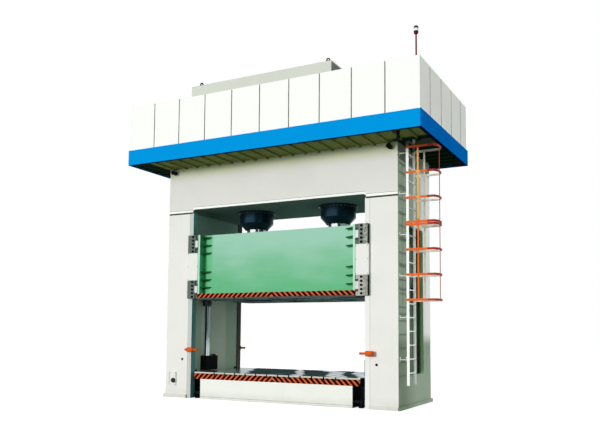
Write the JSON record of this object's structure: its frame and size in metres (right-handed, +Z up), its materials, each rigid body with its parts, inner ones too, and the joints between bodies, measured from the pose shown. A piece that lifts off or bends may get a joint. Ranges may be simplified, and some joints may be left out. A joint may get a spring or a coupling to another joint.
{
  "type": "hydraulic press",
  "caption": "Large two-column hydraulic sheet press with a guided green slide, slotted bolster, roof platform with fascia panels, side ladder with safety cage and a signal lamp.",
  "frame": {"origin": "on the floor, half way between the two columns, under the middle of the bolster", "axes": "+Z up, +X towards the column with the ladder, -Y towards the operator's front"},
  "size_m": [7.69, 3.74, 8.17],
  "materials": {
    "column_paint": "satin",
    "fascia_paint": "satin",
    "band_paint": "satin",
    "slide_paint": "gloss",
    "machined_steel": "ground",
    "rail_steel": "ground",
    "rod_chrome": "polished",
    "tie_rod_steel": "turned",
    "black_paint": "gloss",
    "shoe_paint": "satin",
    "cover_paint": "satin",
    "sensor_body": "matte",
    "socket_body": "matte",
    "deck_paint": "matte",
    "soffit_paint": "matte",
    "tank_paint": "satin",
    "motor_casting": "painted",
    "ladder_paint": "satin",
    "cage_paint": "satin",
    "beacon_red": "gloss",
    "beacon_white": "gloss",
    "beacon_black": "gloss"
  },
  "bodies": {
    "frame": {"left_column": "column_paint", "right_column": "column_paint", "crown": "column_paint", "bed": "column_paint", "bed_ends": "column_paint", "socket_box": "column_paint", "fascia_front": "fascia_paint", "fascia_rear": "fascia_paint", "fascia_right": "fascia_paint", "fascia_left": "fascia_paint", "edge_band": "band_paint", "bolster": "machined_steel", "guide_rail_front_right": "rail_steel", "guide_rail_front_left": "rail_steel", "guide_rail_rear_right": "rail_steel", "guide_rail_rear_left": "rail_steel", "lock_rods": "rod_chrome", "tie_rods": "tie_rod_steel", "main_cylinder_left": "black_paint", "main_cylinder_right": "black_paint", "gland_left": "black_paint", "gland_right": "black_paint", "lock_rod_seats": "black_paint", "tie_rod_nuts": "black_paint", "levelling_feet": "black_paint", "crown_trunnions": "black_paint", "beam_sensors": "sensor_body", "socket": "socket_body", "deck_plate": "deck_paint", "platform_joists": "deck_paint", "fascia_posts": "deck_paint", "soffit": "soffit_paint", "soffit_battens": "soffit_paint", "oil_tank": "tank_paint", "tank_lid": "tank_paint", "tank_lugs": "tank_paint", "pump_motors": "motor_casting", "oil_pumps": "motor_casting", "ladder_stiles": "ladder_paint", "ladder_rungs": "ladder_paint", "ladder_brackets": "ladder_paint", "cage_hoops": "cage_paint", "cage_straps": "cage_paint", "beacon_pole": "beacon_red", "beacon_base": "beacon_red", "beacon_lens": "beacon_white", "beacon_cap": "beacon_black"},
    "slide": {"slide_body": "slide_paint", "slide_plate": "machined_steel", "guide_shoes_front_right": "shoe_paint", "guide_shoes_front_left": "shoe_paint", "guide_shoes_rear_right": "shoe_paint", "guide_shoes_rear_left": "shoe_paint", "shoe_bolts": "black_paint", "shoe_keepers": "black_paint", "guide_covers": "cover_paint", "lock_brackets": "black_paint", "lock_housings": "black_paint", "piston_rod_left": "rod_chrome", "piston_rod_right": "rod_chrome"}
  },
  "joints": [
    {"name": "slide_stroke", "type": "slide", "parent": "frame", "child": "slide", "axis": [0, 0, 1], "range_m": [-1, 0]}
  ]
}
